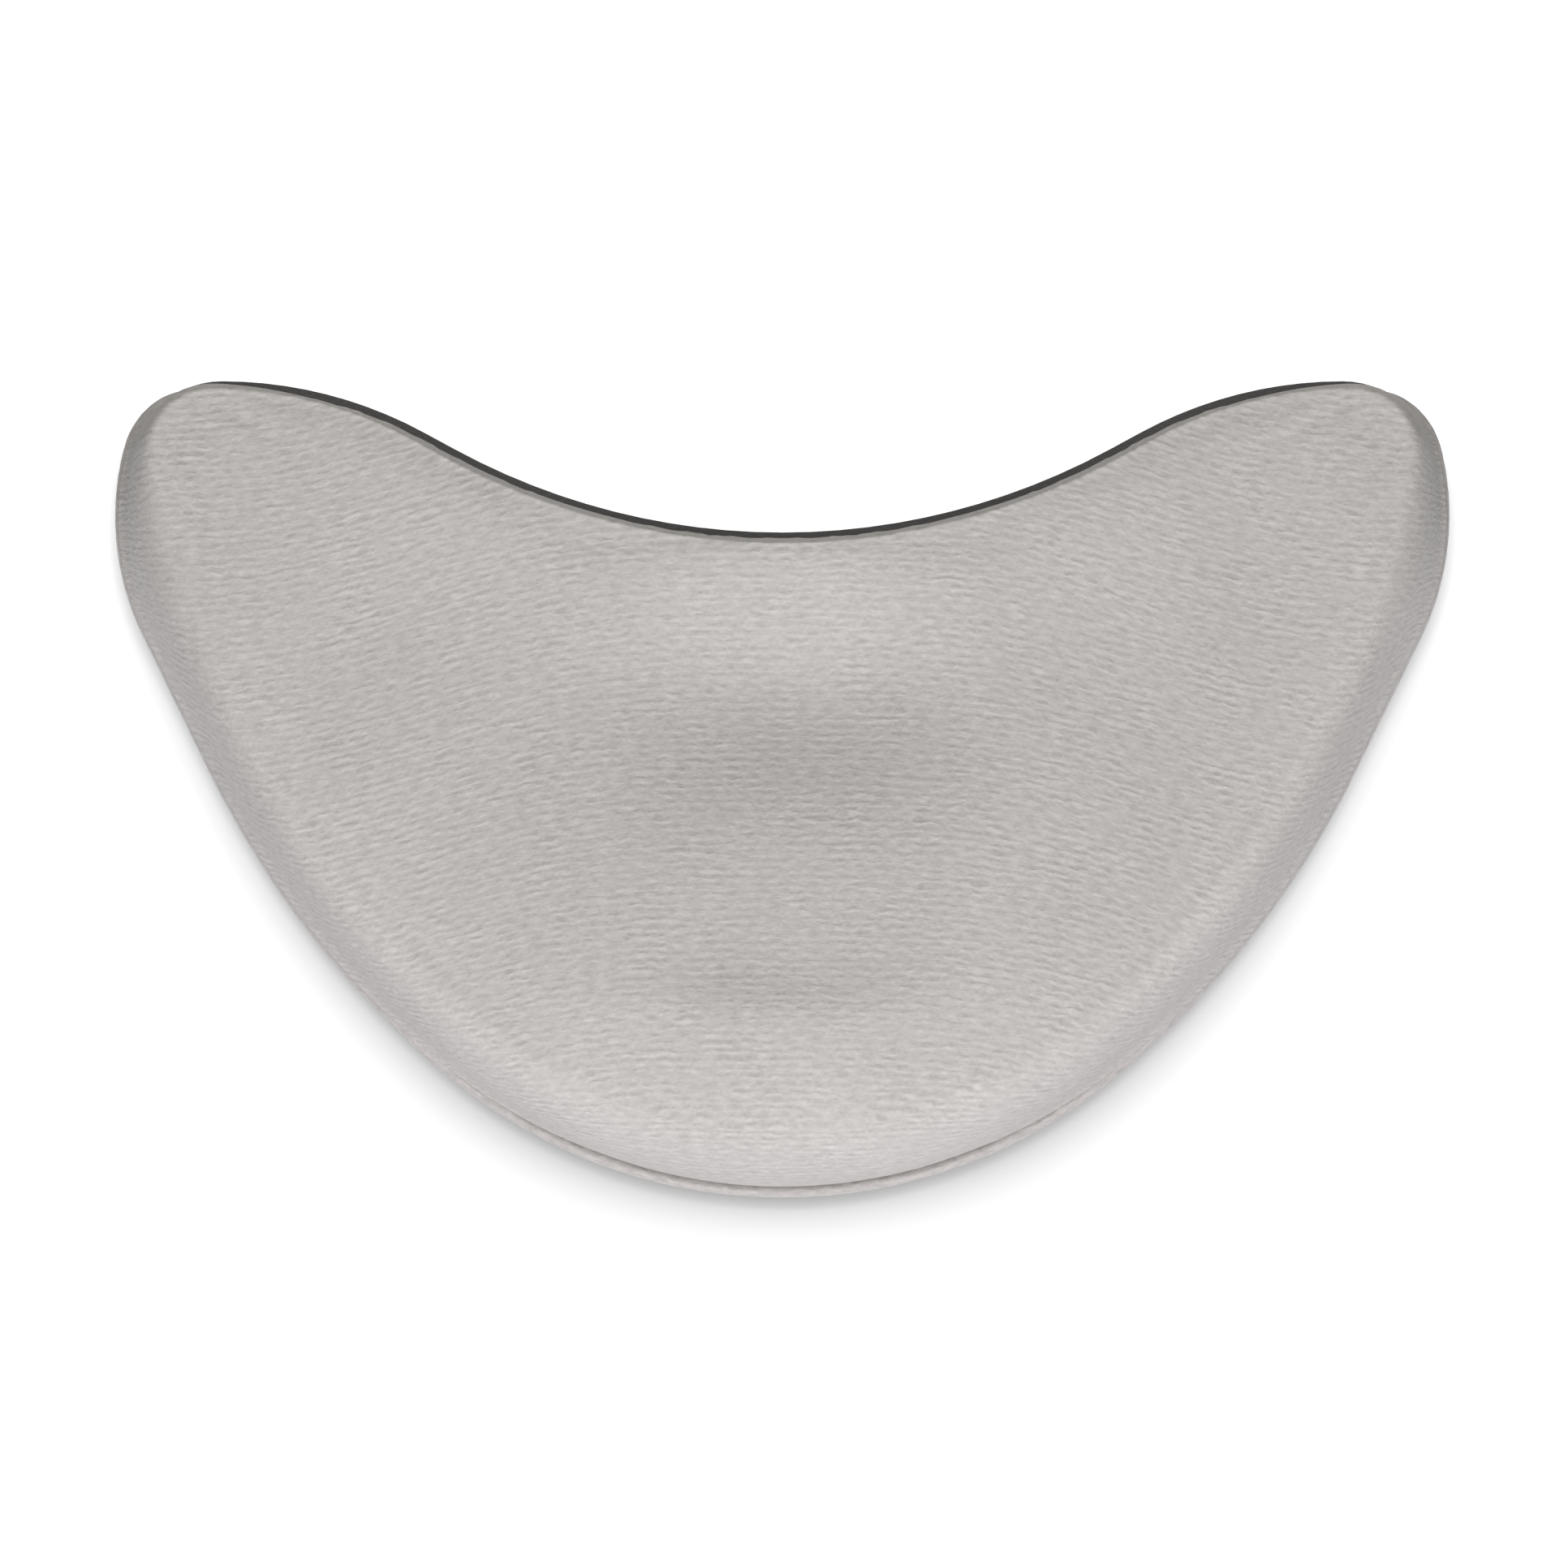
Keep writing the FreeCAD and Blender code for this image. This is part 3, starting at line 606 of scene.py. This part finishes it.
def make_cord():
    """The piping cord: three plies twisted together."""
    radius = (cord_high[2] - cord_low[2]) / 2
    station = strand_path(CORD_PITCH, spare=WELT_TAPER)
    line, normal = line_at(station)
    height = np.full(len(station), (cord_low[2] + cord_high[2]) / 2)
    centre = np.column_stack([line + normal * WELT_RADIUS, height])

    def radii(angle):
        return radius * (0.86 + 0.12 * np.abs(np.cos(1.5 * (angle - station / PLY_TWIST))))
    return strand("piping_cord", station, centre, radii, CORD_SIDES)


STITCH_PITCH = 2.7
STITCH_LENGTH = 2.1
STITCH_RADIUS = 0.22
STITCH_DIP = 0.35            # how far a stitch's ends lie below its middle
STITCH_SIDES = 8
STITCH_RINGS = 7
SEAM_OUTSET = 0.6            # of the seam from the cover line
SEAM_HEIGHT = welt_low[2] + WELT_RADIUS + 1.25


def make_stitches():
    """Lockstitches in the crease between cover and piping: short strands that dip at their ends."""
    surface = Surface()
    angles = np.linspace(0, 2 * np.pi, STITCH_SIDES, endpoint=False)
    for middle in strand_path(STITCH_PITCH, spare=WELT_TAPER):
        station = middle + np.linspace(-0.5, 0.5, STITCH_RINGS) * STITCH_LENGTH
        line, normal = line_at(station)
        arch = 1 - (2 * (station - middle) / STITCH_LENGTH) ** 2
        height = SEAM_HEIGHT - STITCH_DIP * (1 - arch)
        centre = np.column_stack([line + normal * SEAM_OUTSET, height])
        size = STITCH_RADIUS * np.sqrt(np.clip(0.25 + 0.75 * arch, 0, 1))
        rings = []
        for point, outward, radius in zip(centre, normal, size):
            ring = point + radius * (np.cos(angles)[:, None] * np.append(outward, 0)
                                     + np.sin(angles)[:, None] * np.array([0, 0, 1.0]))
            rings.append(surface.add(ring))
        surface.tube(rings)
    return surface.build("seam_stitches")


# ---------------------------------------------------------------- foams

FOAM_GAP = 1.7               # between the cover's outside and the foam
FOAM_COLUMNS = 60
FOAM_ROWS = 20
FOAM_RINGS = 7               # rings up the side of each foam layer


class Wall:
    """The inside of the cover's rolled edge, station by station."""

    def __init__(self):
        self.station, self.line, self.normal = closed_loop(FOAM_COLUMNS, FOAM_ROWS)

    def ring(self, angle):
        """Points on the wall at these section angles."""
        outside, height = wall_ring(self.station, self.line, self.normal, angle)
        return np.column_stack([outside - self.normal * FOAM_GAP, height - FOAM_GAP])

    def angle_at(self, height):
        """Section angles at which the wall passes this height."""
        angles = np.linspace(0, np.pi / 2, 60)
        heights = np.stack([self.ring(np.full(len(self.line), angle))[:, 2] for angle in angles])
        return np.array([np.interp(height, column, angles) for column in heights.T])


def make_foam(name, bottom, last_angle, top):
    """A foam layer: a flat bottom, rings that follow the cover's wall, and a top."""
    wall = Wall()
    first_angle = wall.angle_at(bottom)
    surface = Surface()
    rings = []
    for share in np.linspace(0, 1, FOAM_RINGS):
        ring = wall.ring(first_angle + (last_angle(wall) - first_angle) * share)
        rings.append(surface.add(ring))
    for lower, upper in zip(rings, rings[1:]):
        surface.join(lower, upper)
    surface.cap(rings[-1], FOAM_COLUMNS, FOAM_ROWS, top)
    surface.cap(rings[0], FOAM_COLUMNS, FOAM_ROWS, lambda x, y: np.full(len(x), bottom),
                flip=True)
    return surface.build(name)


def make_foams():
    """The firm core up to the CAD core's top, and the soft foam between it and the cover."""
    core = make_foam("firm_foam", carrier_top, lambda wall: wall.angle_at(core_top),
                     lambda x, y: np.full(len(x), core_top))
    topper = make_foam("soft_foam", core_top, lambda wall: np.pi / 2,
                       lambda x, y: top_height(x, y) - FOAM_GAP)
    return core, topper


# ---------------------------------------------------------------- materials


class Finish:
    """A node material: the main shader, with short ways to add texture and arithmetic nodes."""

    def __init__(self, name, roughness, bump_distance, **sockets):
        self.material = bpy.data.materials.new(name)
        self.material.use_nodes = True
        self.tree = self.material.node_tree
        self.shader = self.tree.nodes["Principled BSDF"]
        self.shader.inputs["Roughness"].default_value = roughness
        for socket, value in sockets.items():
            self.shader.inputs[socket.replace("_", " ")].default_value = value
        self.bump_distance = bump_distance

    def put(self, socket, value):
        """Link a node's output to this socket, or set its own value."""
        if isinstance(value, bpy.types.NodeSocket):
            self.tree.links.new(value, socket)
        elif value is not None:
            socket.default_value = value

    def add(self, kind, out, inputs=(), **settings):
        """A node, its settings and inputs, and the output named or numbered by out."""
        node = self.tree.nodes.new("ShaderNode" + kind)
        for key, value in settings.items():
            setattr(node, key, value)
        for key, value in dict(inputs).items():
            self.put(node.inputs[key], value)
        return node.outputs[out]

    def math(self, operation, *values, clamp=False):
        return self.add("Math", 0, enumerate(values), operation=operation, use_clamp=clamp)

    def place(self):
        """The surface point in millimetres."""
        point = self.add("TexCoord", "Object")
        return self.add("VectorMath", "Vector", {0: point, "Scale": 1 / MM}, operation="SCALE")

    def stretch(self, vector, x, y, z):
        return self.add("VectorMath", "Vector", {0: vector, 1: (x, y, z)}, operation="MULTIPLY")

    def noise(self, vector, scale, detail=2.0, rough=0.5):
        inputs = {"Vector": vector, "Scale": scale, "Detail": detail, "Roughness": rough}
        return self.add("TexNoise", 0, inputs)

    def cells(self, vector, scale):
        return self.add("TexVoronoi", "Distance", {"Vector": vector, "Scale": scale})

    def remap(self, value, low, high, to_low=0.0, to_high=1.0):
        inputs = {0: value, 1: low, 2: high, 3: to_low, 4: to_high}
        return self.add("MapRange", 0, inputs, interpolation_type="SMOOTHSTEP")

    def blend(self, share, first, second):
        node = self.tree.nodes.new("ShaderNodeMix")
        node.data_type = "RGBA"
        for key, value in ((0, share), (6, first), (7, second)):
            self.put(node.inputs[key], value)
        return node.outputs[2]

    def finish(self, colour, height, strength, roughness=None):
        """Join colour, bump and roughness to the shader, and return the material."""
        self.put(self.shader.inputs["Base Color"], colour)
        self.put(self.shader.inputs["Roughness"], roughness)
        inputs = {"Height": height, "Strength": strength, "Distance": self.bump_distance * MM}
        self.put(self.shader.inputs["Normal"], self.add("Bump", 0, inputs))
        return self.material


COURSE = 1.5                 # pitch of the knit's courses
WALE = 1.25                  # pitch of its loops along a course
DASH = 1.7                   # length scale of the dashes of painted highlight and painted shade along a course
# the light end also carries painted highlight on the knit's crests, and the dark end painted shade in
# its troughs
KNIT_LIGHT = (0.550, 0.520, 0.490, 1)
KNIT_DARK = (0.386, 0.364, 0.343, 1)


def knit(name):
    """Rib knit: courses broken into short dashes, with loops and stray fibres. Its colour follows that
    relief: painted shade in the troughs and painted highlight on the crests, over streaks and clouds of
    the yarn's own tone.
    """
    f = Finish(name, 0.92, 0.28, Sheen_Weight=0.22, Sheen_Roughness=0.45, Specular_IOR_Level=0.25)
    cloth = f.add("Attribute", "Vector", attribute_name="cloth")
    drift = f.remap(f.noise(cloth, 0.07, 1.0), 0.25, 0.75, -0.2, 0.2)
    wobble = f.remap(f.noise(f.stretch(cloth, 0.35, 0.7, 1.0), 1.0, 2.0), 0.25, 0.75, -0.35, 0.35)
    sway = f.math("ADD", drift, wobble)
    x, y = (f.add("SeparateXYZ", axis, {0: cloth}) for axis in range(2))
    course = f.math("DIVIDE", f.math("ADD", y, sway), COURSE)
    index = f.math("FLOOR", course)
    ridge = f.math("SINE", f.math("MULTIPLY", course, 2 * math.pi))
    shift = f.add("TexWhiteNoise", 0, {"W": index}, noise_dimensions="1D")
    along_course = f.math("ADD", f.math("DIVIDE", x, DASH), f.math("MULTIPLY", shift, 57.0))
    dash_place = f.add("CombineXYZ", 0, {0: along_course, 1: f.math("MULTIPLY", index, 7.31)})
    dash = f.remap(f.noise(dash_place, 1.0, 2.0, 0.6), 0.36, 0.64)
    # patchy wear, which sets how deep the relief runs and so how strong its painted shade and highlight
    # are
    wear_and_shade_depth = f.remap(f.noise(cloth, 0.11, 2.0), 0.3, 0.7, 0.45, 1.25)
    streak = f.noise(f.stretch(cloth, 0.42, 1.0, 1.0), 1.0, 2.0, 0.5)
    turn = f.math("ADD", f.math("DIVIDE", x, WALE), f.math("MULTIPLY", index, 0.5))
    loop = f.math("SINE", f.math("MULTIPLY", turn, 2 * math.pi))
    fibre = f.noise(f.stretch(cloth, 1.0, 1.7, 1.0), 1.7, 3.0, 0.7)
    depth = f.math("MULTIPLY", wear_and_shade_depth, f.math("MULTIPLY_ADD", dash, 0.30, 0.03))
    crown = f.math("MULTIPLY", ridge, depth)
    body = f.math("MULTIPLY_ADD", loop, 0.035, f.math("ADD", crown, 0.5))
    body = f.math("MULTIPLY_ADD", f.math("SUBTRACT", streak, 0.5), 1.35, body)
    tone = f.math("MULTIPLY_ADD", f.math("SUBTRACT", fibre, 0.5), 0.4, body)
    cloud = f.remap(f.noise(cloth, 0.035, 2.0), 0.3, 0.7, -0.06, 0.06)
    # painted shade and highlight: the colour darkens where the courses, loops and fibres sink and
    # lightens where they rise
    colour = f.blend(f.math("ADD", tone, cloud, clamp=True), KNIT_DARK, KNIT_LIGHT)
    height = f.math("MULTIPLY_ADD", fibre, 0.35, body)
    return f.finish(colour, height, 0.35)


def twisted(name, light, dark, pitch, fuzz):
    """Spun yarn or cord: slanting strands with loose fibres, and painted shade in the grooves between
    the strands.
    """
    f = Finish(name, 0.85, 0.12, Sheen_Weight=0.2)
    place = f.place()
    strands = f.add("TexWave", 0, {"Vector": place, "Scale": 0.31 / pitch, "Distortion": 1.5,
                                   "Detail Scale": 2.0}, bands_direction="DIAGONAL")
    fibre = f.noise(place, fuzz, 3.0, 0.7)
    # painted shade: the colour darkens where the strands sink, over the fibres' own tone
    tone = f.math("MULTIPLY_ADD", fibre, 0.5, f.math("MULTIPLY", strands, 0.5))
    return f.finish(f.blend(tone, dark, light), tone, 0.7)


def foam(name, light, dark, pore):
    """Cut open-cell foam: pores of several sizes, with painted shade inside them."""
    f = Finish(name, 0.95, 0.5, Sheen_Weight=0.15)
    place = f.place()
    large = f.cells(place, 1 / pore)
    small = f.cells(place, 2.6 / pore)
    pores = f.math("MULTIPLY", f.remap(large, 0.05, 0.5), f.remap(small, 0.05, 0.45))
    patch = f.noise(place, 0.05, 2.0)
    # painted shade: the colour darkens inside the pores, over a random patchy tone
    tone = f.math("MULTIPLY_ADD", patch, 0.35, f.math("MULTIPLY", pores, 0.75), clamp=True)
    return f.finish(f.blend(tone, dark, light), pores, 0.8)


def moulded(name):
    """Charcoal moulded plastic: fine grain, faint flow marks, and scuffs where the underside rubs."""
    f = Finish(name, 0.5, 0.10, Specular_IOR_Level=0.45)
    place = f.place()
    grain = f.cells(place, 1.6)
    fine = f.noise(place, 2.6, 3.0, 0.6)
    flow = f.noise(f.stretch(place, 0.4, 1.0, 1.0), 0.05, 3.0)
    scratches = f.remap(f.noise(f.stretch(place, 0.12, 1.6, 1.0), 0.9, 4.0, 0.65), 0.58, 0.72)
    height = f.add("SeparateXYZ", 2, {0: place})
    rubbed = f.math("MULTIPLY", scratches, f.remap(height, 0.05, 1.2, 0.55, 0.0), clamp=True)
    base = f.blend(f.remap(flow, 0.3, 0.7), (0.066, 0.063, 0.060, 1), (0.083, 0.079, 0.075, 1))
    colour = f.blend(rubbed, base, (0.16, 0.155, 0.15, 1))
    bump = f.math("MULTIPLY_ADD", fine, 0.4, grain)
    return f.finish(colour, bump, 0.5, f.remap(fine, 0.3, 0.7, 0.46, 0.62))


def plywood(name):
    """Birch plywood: long grain and small knots on the faces, ply lines on the edges."""
    f = Finish(name, 0.62, 0.12)
    place = f.place()
    height = f.add("SeparateXYZ", 2, {0: place})
    warp = f.noise(f.stretch(place, 0.02, 0.10, 1.0), 1.0, 3.0)
    figure = f.add("TexWave", 0, {"Vector": f.stretch(place, 0.015, 0.16, 0.0), "Scale": 0.9,
                                  "Distortion": 9.0, "Detail": 3.0}, bands_direction="Y")
    pores = f.remap(f.noise(f.stretch(place, 0.12, 3.0, 3.0), 1.0, 2.0), 0.56, 0.7)
    ply = f.math("PINGPONG", f.math("DIVIDE", height, 1.33), 1.0)
    edge = f.remap(ply, 0.35, 0.65)
    normal = f.add("NewGeometry", "Normal")
    upright = f.math("ABSOLUTE", f.add("SeparateXYZ", 2, {0: normal}))
    face = f.remap(upright, 0.5, 0.8)
    tone = f.blend(f.math("MULTIPLY_ADD", figure, 0.6, f.math("MULTIPLY", warp, 0.4)),
                   (0.50, 0.34, 0.19, 1), (0.68, 0.52, 0.33, 1))
    plies = f.blend(edge, (0.36, 0.22, 0.12, 1), (0.66, 0.50, 0.31, 1))
    wood = f.blend(face, plies, tone)
    colour = f.blend(f.math("MULTIPLY", pores, 0.35), wood, (0.24, 0.15, 0.08, 1))
    return f.finish(colour, pores, -0.4)


def metal(name, light, dark, roughness, turned):
    """Machined or drawn metal: fine tool marks and dull spots."""
    f = Finish(name, roughness, 0.05, Metallic=1.0)
    place = f.place()
    marks = f.noise(f.stretch(place, 0.3, 0.3, turned), 2.0, 3.0, 0.6)
    spots = f.remap(f.noise(place, 0.7, 3.0, 0.6), 0.45, 0.7)
    wear = f.remap(spots, 0.0, 1.0, roughness - 0.08, roughness + 0.15)
    return f.finish(f.blend(spots, light, dark), marks, 0.5, wear)


def floor_paint(name):
    """Matt white studio board."""
    f = Finish(name, 0.9, 0.2, Specular_IOR_Level=0.1)
    place = f.place()
    patch = f.noise(place, 0.01, 2.0)
    colour = f.blend(patch, (0.90, 0.90, 0.90, 1), (0.92, 0.92, 0.92, 1))
    return f.finish(colour, f.noise(place, 0.8, 3.0), 0.05)


def dress(piece, material, stands_for=()):
    """Give a piece its material and its place on the body."""
    piece.data.materials.clear()
    piece.data.materials.append(material)
    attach(piece, BODY)
    if stands_for:
        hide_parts(*stands_for)


def repaint(node, material):
    """Give a CAD node its finished material."""
    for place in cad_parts[node].material_slots:
        place.material = material


# ---------------------------------------------------------------- studio


FLOOR_REACH = 2500.0


def make_floor():
    """A wide plain board under the pad, which throws no light back onto it."""
    surface = Surface()
    turns = [(-1, -1), (1, -1), (1, 1), (-1, 1)]
    corner = surface.add([(x * FLOOR_REACH, y * FLOOR_REACH, 0) for x, y in turns])
    surface.faces.append(corner.tolist())
    floor = surface.build("studio_floor")
    floor.data.materials.append(floor_paint("studio board"))
    floor.visible_diffuse = False
    floor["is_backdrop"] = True
    return floor


LENS = 180.0
SENSOR = 36.0
PAD_SHARE = 0.8515           # share of the picture's width that the pad fills
AIM_OFFSET = (0.3, 0.8)      # the lens's axis beside the middle of the pad


def make_camera():
    """Straight above the pad, with a long lens."""
    low, high = cad_box
    data = bpy.data.cameras.new("camera")
    data.sensor_width = SENSOR
    data.lens = LENS
    frame_width = (high[0] - low[0]) / PAD_SHARE
    centre = [(low[axis] + high[axis]) / 2 + AIM_OFFSET[axis] * MM for axis in (0, 1)]
    camera = bpy.data.objects.new("camera", data)
    bpy.context.scene.collection.objects.link(camera)
    widest = (welt_low[2] + welt_high[2]) / 2 * MM
    camera.location = (*centre, widest + frame_width * LENS / SENSOR)
    data.clip_end = 20
    bpy.context.scene.camera = camera


def area_light(name, azimuth, elevation, distance, size, power, colour=(1, 1, 1)):
    """A soft box aimed at the pad. Azimuth 0 stands in front of the nose and 180 behind the bay."""
    data = bpy.data.lights.new(name, "AREA")
    data.shape = "RECTANGLE"
    data.size, data.size_y = size
    data.energy = power
    data.color = colour
    light = bpy.data.objects.new(name, data)
    bpy.context.scene.collection.objects.link(light)
    a, e = math.radians(azimuth), math.radians(elevation)
    back = Vector((math.sin(a) * math.cos(e), -math.cos(a) * math.cos(e), math.sin(e)))
    light.location = back * distance
    light.rotation_mode = "QUATERNION"
    light.rotation_quaternion = (-back).to_track_quat("-Z", "Y")
    return light


def gather(name, pieces):
    """A collection, for light linking only, that holds these pieces."""
    group = bpy.data.collections.new(name)
    for piece in pieces:
        group.objects.link(piece)
    return group


def keep_light_on(light, pieces):
    """Flag a light so that it reaches these pieces only."""
    light.light_linking.receiver_collection = gather(light.name + " reaches", pieces)


def light_floor(floor, name, size, power, casts):
    """A box behind the pad that lights the floor alone; only one that casts is shaded by the pad."""
    light = area_light(name, 180, 62, 1.8, size, power)
    keep_light_on(light, [floor])
    if not casts:
        light.light_linking.blocker_collection = gather(name + " blocked by", [floor])


def light_studio(floor):
    """An overhead box, a low front box kept off the floor, and two boxes for the floor alone."""
    scene = bpy.context.scene
    scene.view_settings.view_transform = "Standard"
    world = bpy.data.worlds.new("studio")
    scene.world = world
    world.use_nodes = True
    background = world.node_tree.nodes["Background"]
    background.inputs["Color"].default_value = (1, 1, 1, 1)
    background.inputs["Strength"].default_value = 0.29
    area_light("overhead", 180, 58, 1.8, (1.2, 1.0), 12.0)
    front = area_light("front", 0, 33, 2.4, (1.28, 0.64), 62, (0.94, 0.945, 1.0))
    keep_light_on(front, [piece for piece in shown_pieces() if piece != floor])
    light_floor(floor, "background", (3.0, 2.4), 32, casts=True)
    light_floor(floor, "background fill", (1.4, 1.2), 13, casts=False)


# ---------------------------------------------------------------- the pad


def make_soft_goods():
    """Cover, hem, piping, seam and foams: all stand for CAD nodes."""
    fabric = knit("pale grey rib knit")
    cover = make_cover()
    dress(cover, fabric, ["cover_top_panel"])
    dress(make_hem(), fabric, ["cover_hem"])
    dress(make_welt(), knit("piping knit"), ["cover_welt"])
    cotton = twisted("cotton cord", (0.78, 0.75, 0.69, 1), (0.55, 0.52, 0.46, 1), 1.2, 3.0)
    dress(make_cord(), cotton, ["welt_cord"])
    polyester = twisted("polyester thread", (0.62, 0.60, 0.57, 1), (0.52, 0.50, 0.48, 1), 0.3, 6.0)
    dress(make_stitches(), polyester, ["seam_thread"])
    core, topper = make_foams()
    firm = foam("firm foam", (0.46, 0.48, 0.50, 1), (0.26, 0.28, 0.30, 1), 0.9)
    soft = foam("soft foam", (0.84, 0.80, 0.66, 1), (0.58, 0.53, 0.40, 1), 1.3)
    dress(core, firm, ["foam_core"])
    dress(topper, soft, ["comfort_foam"])


def paint_hard_parts():
    """Finish the shell, the carrier and the fasteners."""
    repaint("under_cover", moulded("charcoal moulded plastic"))
    repaint("carrier_plate", plywood("birch plywood"))
    zinc = metal("dark zinc", (0.30, 0.30, 0.31, 1), (0.18, 0.18, 0.19, 1), 0.38, 0.3)
    brass = metal("brass", (0.80, 0.60, 0.30, 1), (0.52, 0.38, 0.19, 1), 0.32, 4.0)
    wire = metal("galvanised wire", (0.66, 0.66, 0.67, 1), (0.45, 0.45, 0.47, 1), 0.42, 0.3)
    repaint("under_cover_screws", zinc)
    repaint("threaded_inserts", brass)
    repaint("cover_staples", wire)


make_soft_goods()
paint_hard_parts()
make_camera()
light_studio(make_floor())
